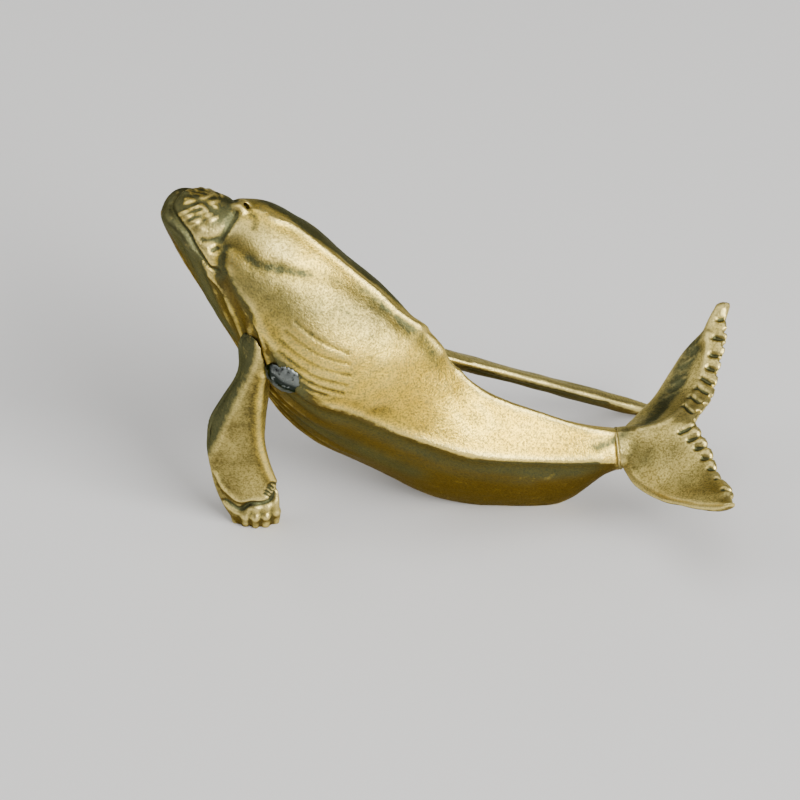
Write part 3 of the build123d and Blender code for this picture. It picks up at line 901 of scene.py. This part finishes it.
def grey_solder(name, dull, bright):
    """Half bright grey solder with dark specks of flux, and black painted shade where stored."""
    material, tree, shader, coords = new_material(name)
    shader.inputs["Specular Tint"].default_value = SOLDER_GLANCE
    clouds = noise(tree, coords, size=1.6 * MM, detail=4.0, roughness=0.5)
    specks = noise(tree, coords, size=0.5 * MM, detail=4.0, roughness=0.55)
    soot = ranged(tree, specks, span=(0.52, 0.72), to=(0.0, 0.9))
    flux_and_shade = maths(tree, "MAXIMUM", soot, attribute(tree, "patina_and_shade"))
    flux_and_shade = maths(tree, "MINIMUM", flux_and_shade, ranged(tree, specks, span=(0.36, 0.42), to=(0.0, 0.95)))
    colour = mixed(tree, flux_and_shade, mixed(tree, clouds, dull, bright), BLACK_FLUX_AND_SHADE)
    tree.links.new(colour, shader.inputs["Base Color"])
    tree.links.new(ranged(tree, flux_and_shade, span=(0.0, 0.8), to=(0.45, 0.14)), shader.inputs["Roughness"])
    bump = shade(tree, "ShaderNodeBump", Strength=0.6, Distance=0.10 * MM, Height=specks)
    tree.links.new(bump.outputs["Normal"], shader.inputs["Normal"])
    return material


def dress_castings():
    """Make every piece and hand it to the frame."""
    brass = aged_brass()
    armpit_solder = grey_solder("armpit_solder", DULL_ARMPIT, BRIGHT_ARMPIT)
    seam_solder = grey_solder("seam_solder", DULL_SEAM, BRIGHT_SEAM)
    for casting in (build_body(brass), build_left_flipper(), build_right_flipper(), build_flukes()):
        casting.store_wear()
        casting.finish(brass, "brass")
    for joint in (LEFT_JOINT, RIGHT_JOINT):
        build_solder(joint).finish(armpit_solder, "solder")
    build_solder(TAIL_JOINT).finish(seam_solder, "solder")


def lay_floor():
    """Plain pale floor under the whale."""
    mesh = bpy.data.meshes.new("floor")
    half = FLOOR_HALF
    corners = [(-half, -half, 0), (half, -half, 0), (half, half, 0), (-half, half, 0)]
    mesh.from_pydata(corners, [], [(0, 1, 2, 3)])
    floor = bpy.data.objects.new("floor", mesh)
    bpy.context.scene.collection.objects.link(floor)
    material = bpy.data.materials.new("pale_floor")
    material.use_nodes = True
    shader = material.node_tree.nodes["Principled BSDF"]
    shader.inputs["Base Color"].default_value = FLOOR_COLOUR
    shader.inputs["Roughness"].default_value = FLOOR_ROUGHNESS
    mesh.materials.append(material)


def hang_light(softbox):
    """Square soft light aimed at the whale."""
    data = bpy.data.lights.new(softbox.name, "AREA")
    data.shape = "SQUARE"
    data.size = softbox.size
    data.energy = softbox.power
    lamp = bpy.data.objects.new(softbox.name, data)
    lamp.location = softbox.place
    lamp.rotation_euler = (VIEW_AIM - Vector(softbox.place)).to_track_quat("-Z", "Y").to_euler()
    bpy.context.scene.collection.objects.link(lamp)


def light_and_camera():
    """Soft studio light from all round and the camera at the picture's angle."""
    for softbox in SOFTBOXES:
        hang_light(softbox)
    world = bpy.data.worlds.new("studio")
    world.use_nodes = True
    world.node_tree.nodes["Background"].inputs["Color"].default_value = STUDIO_AIR
    bpy.context.scene.world = world
    data = bpy.data.cameras.new("camera")
    data.sensor_width = SENSOR_WIDTH
    data.lens = SENSOR_WIDTH * view_reach / IMAGE_SIDE
    data.clip_start = CLIP_START
    camera = bpy.data.objects.new("camera", data)
    camera.location = view_eye
    camera.rotation_euler = (pi / 2 - VIEW_HEIGHT, 0, 0)
    bpy.context.scene.collection.objects.link(camera)
    bpy.context.scene.camera = camera


dress_castings()
lay_floor()
light_and_camera()
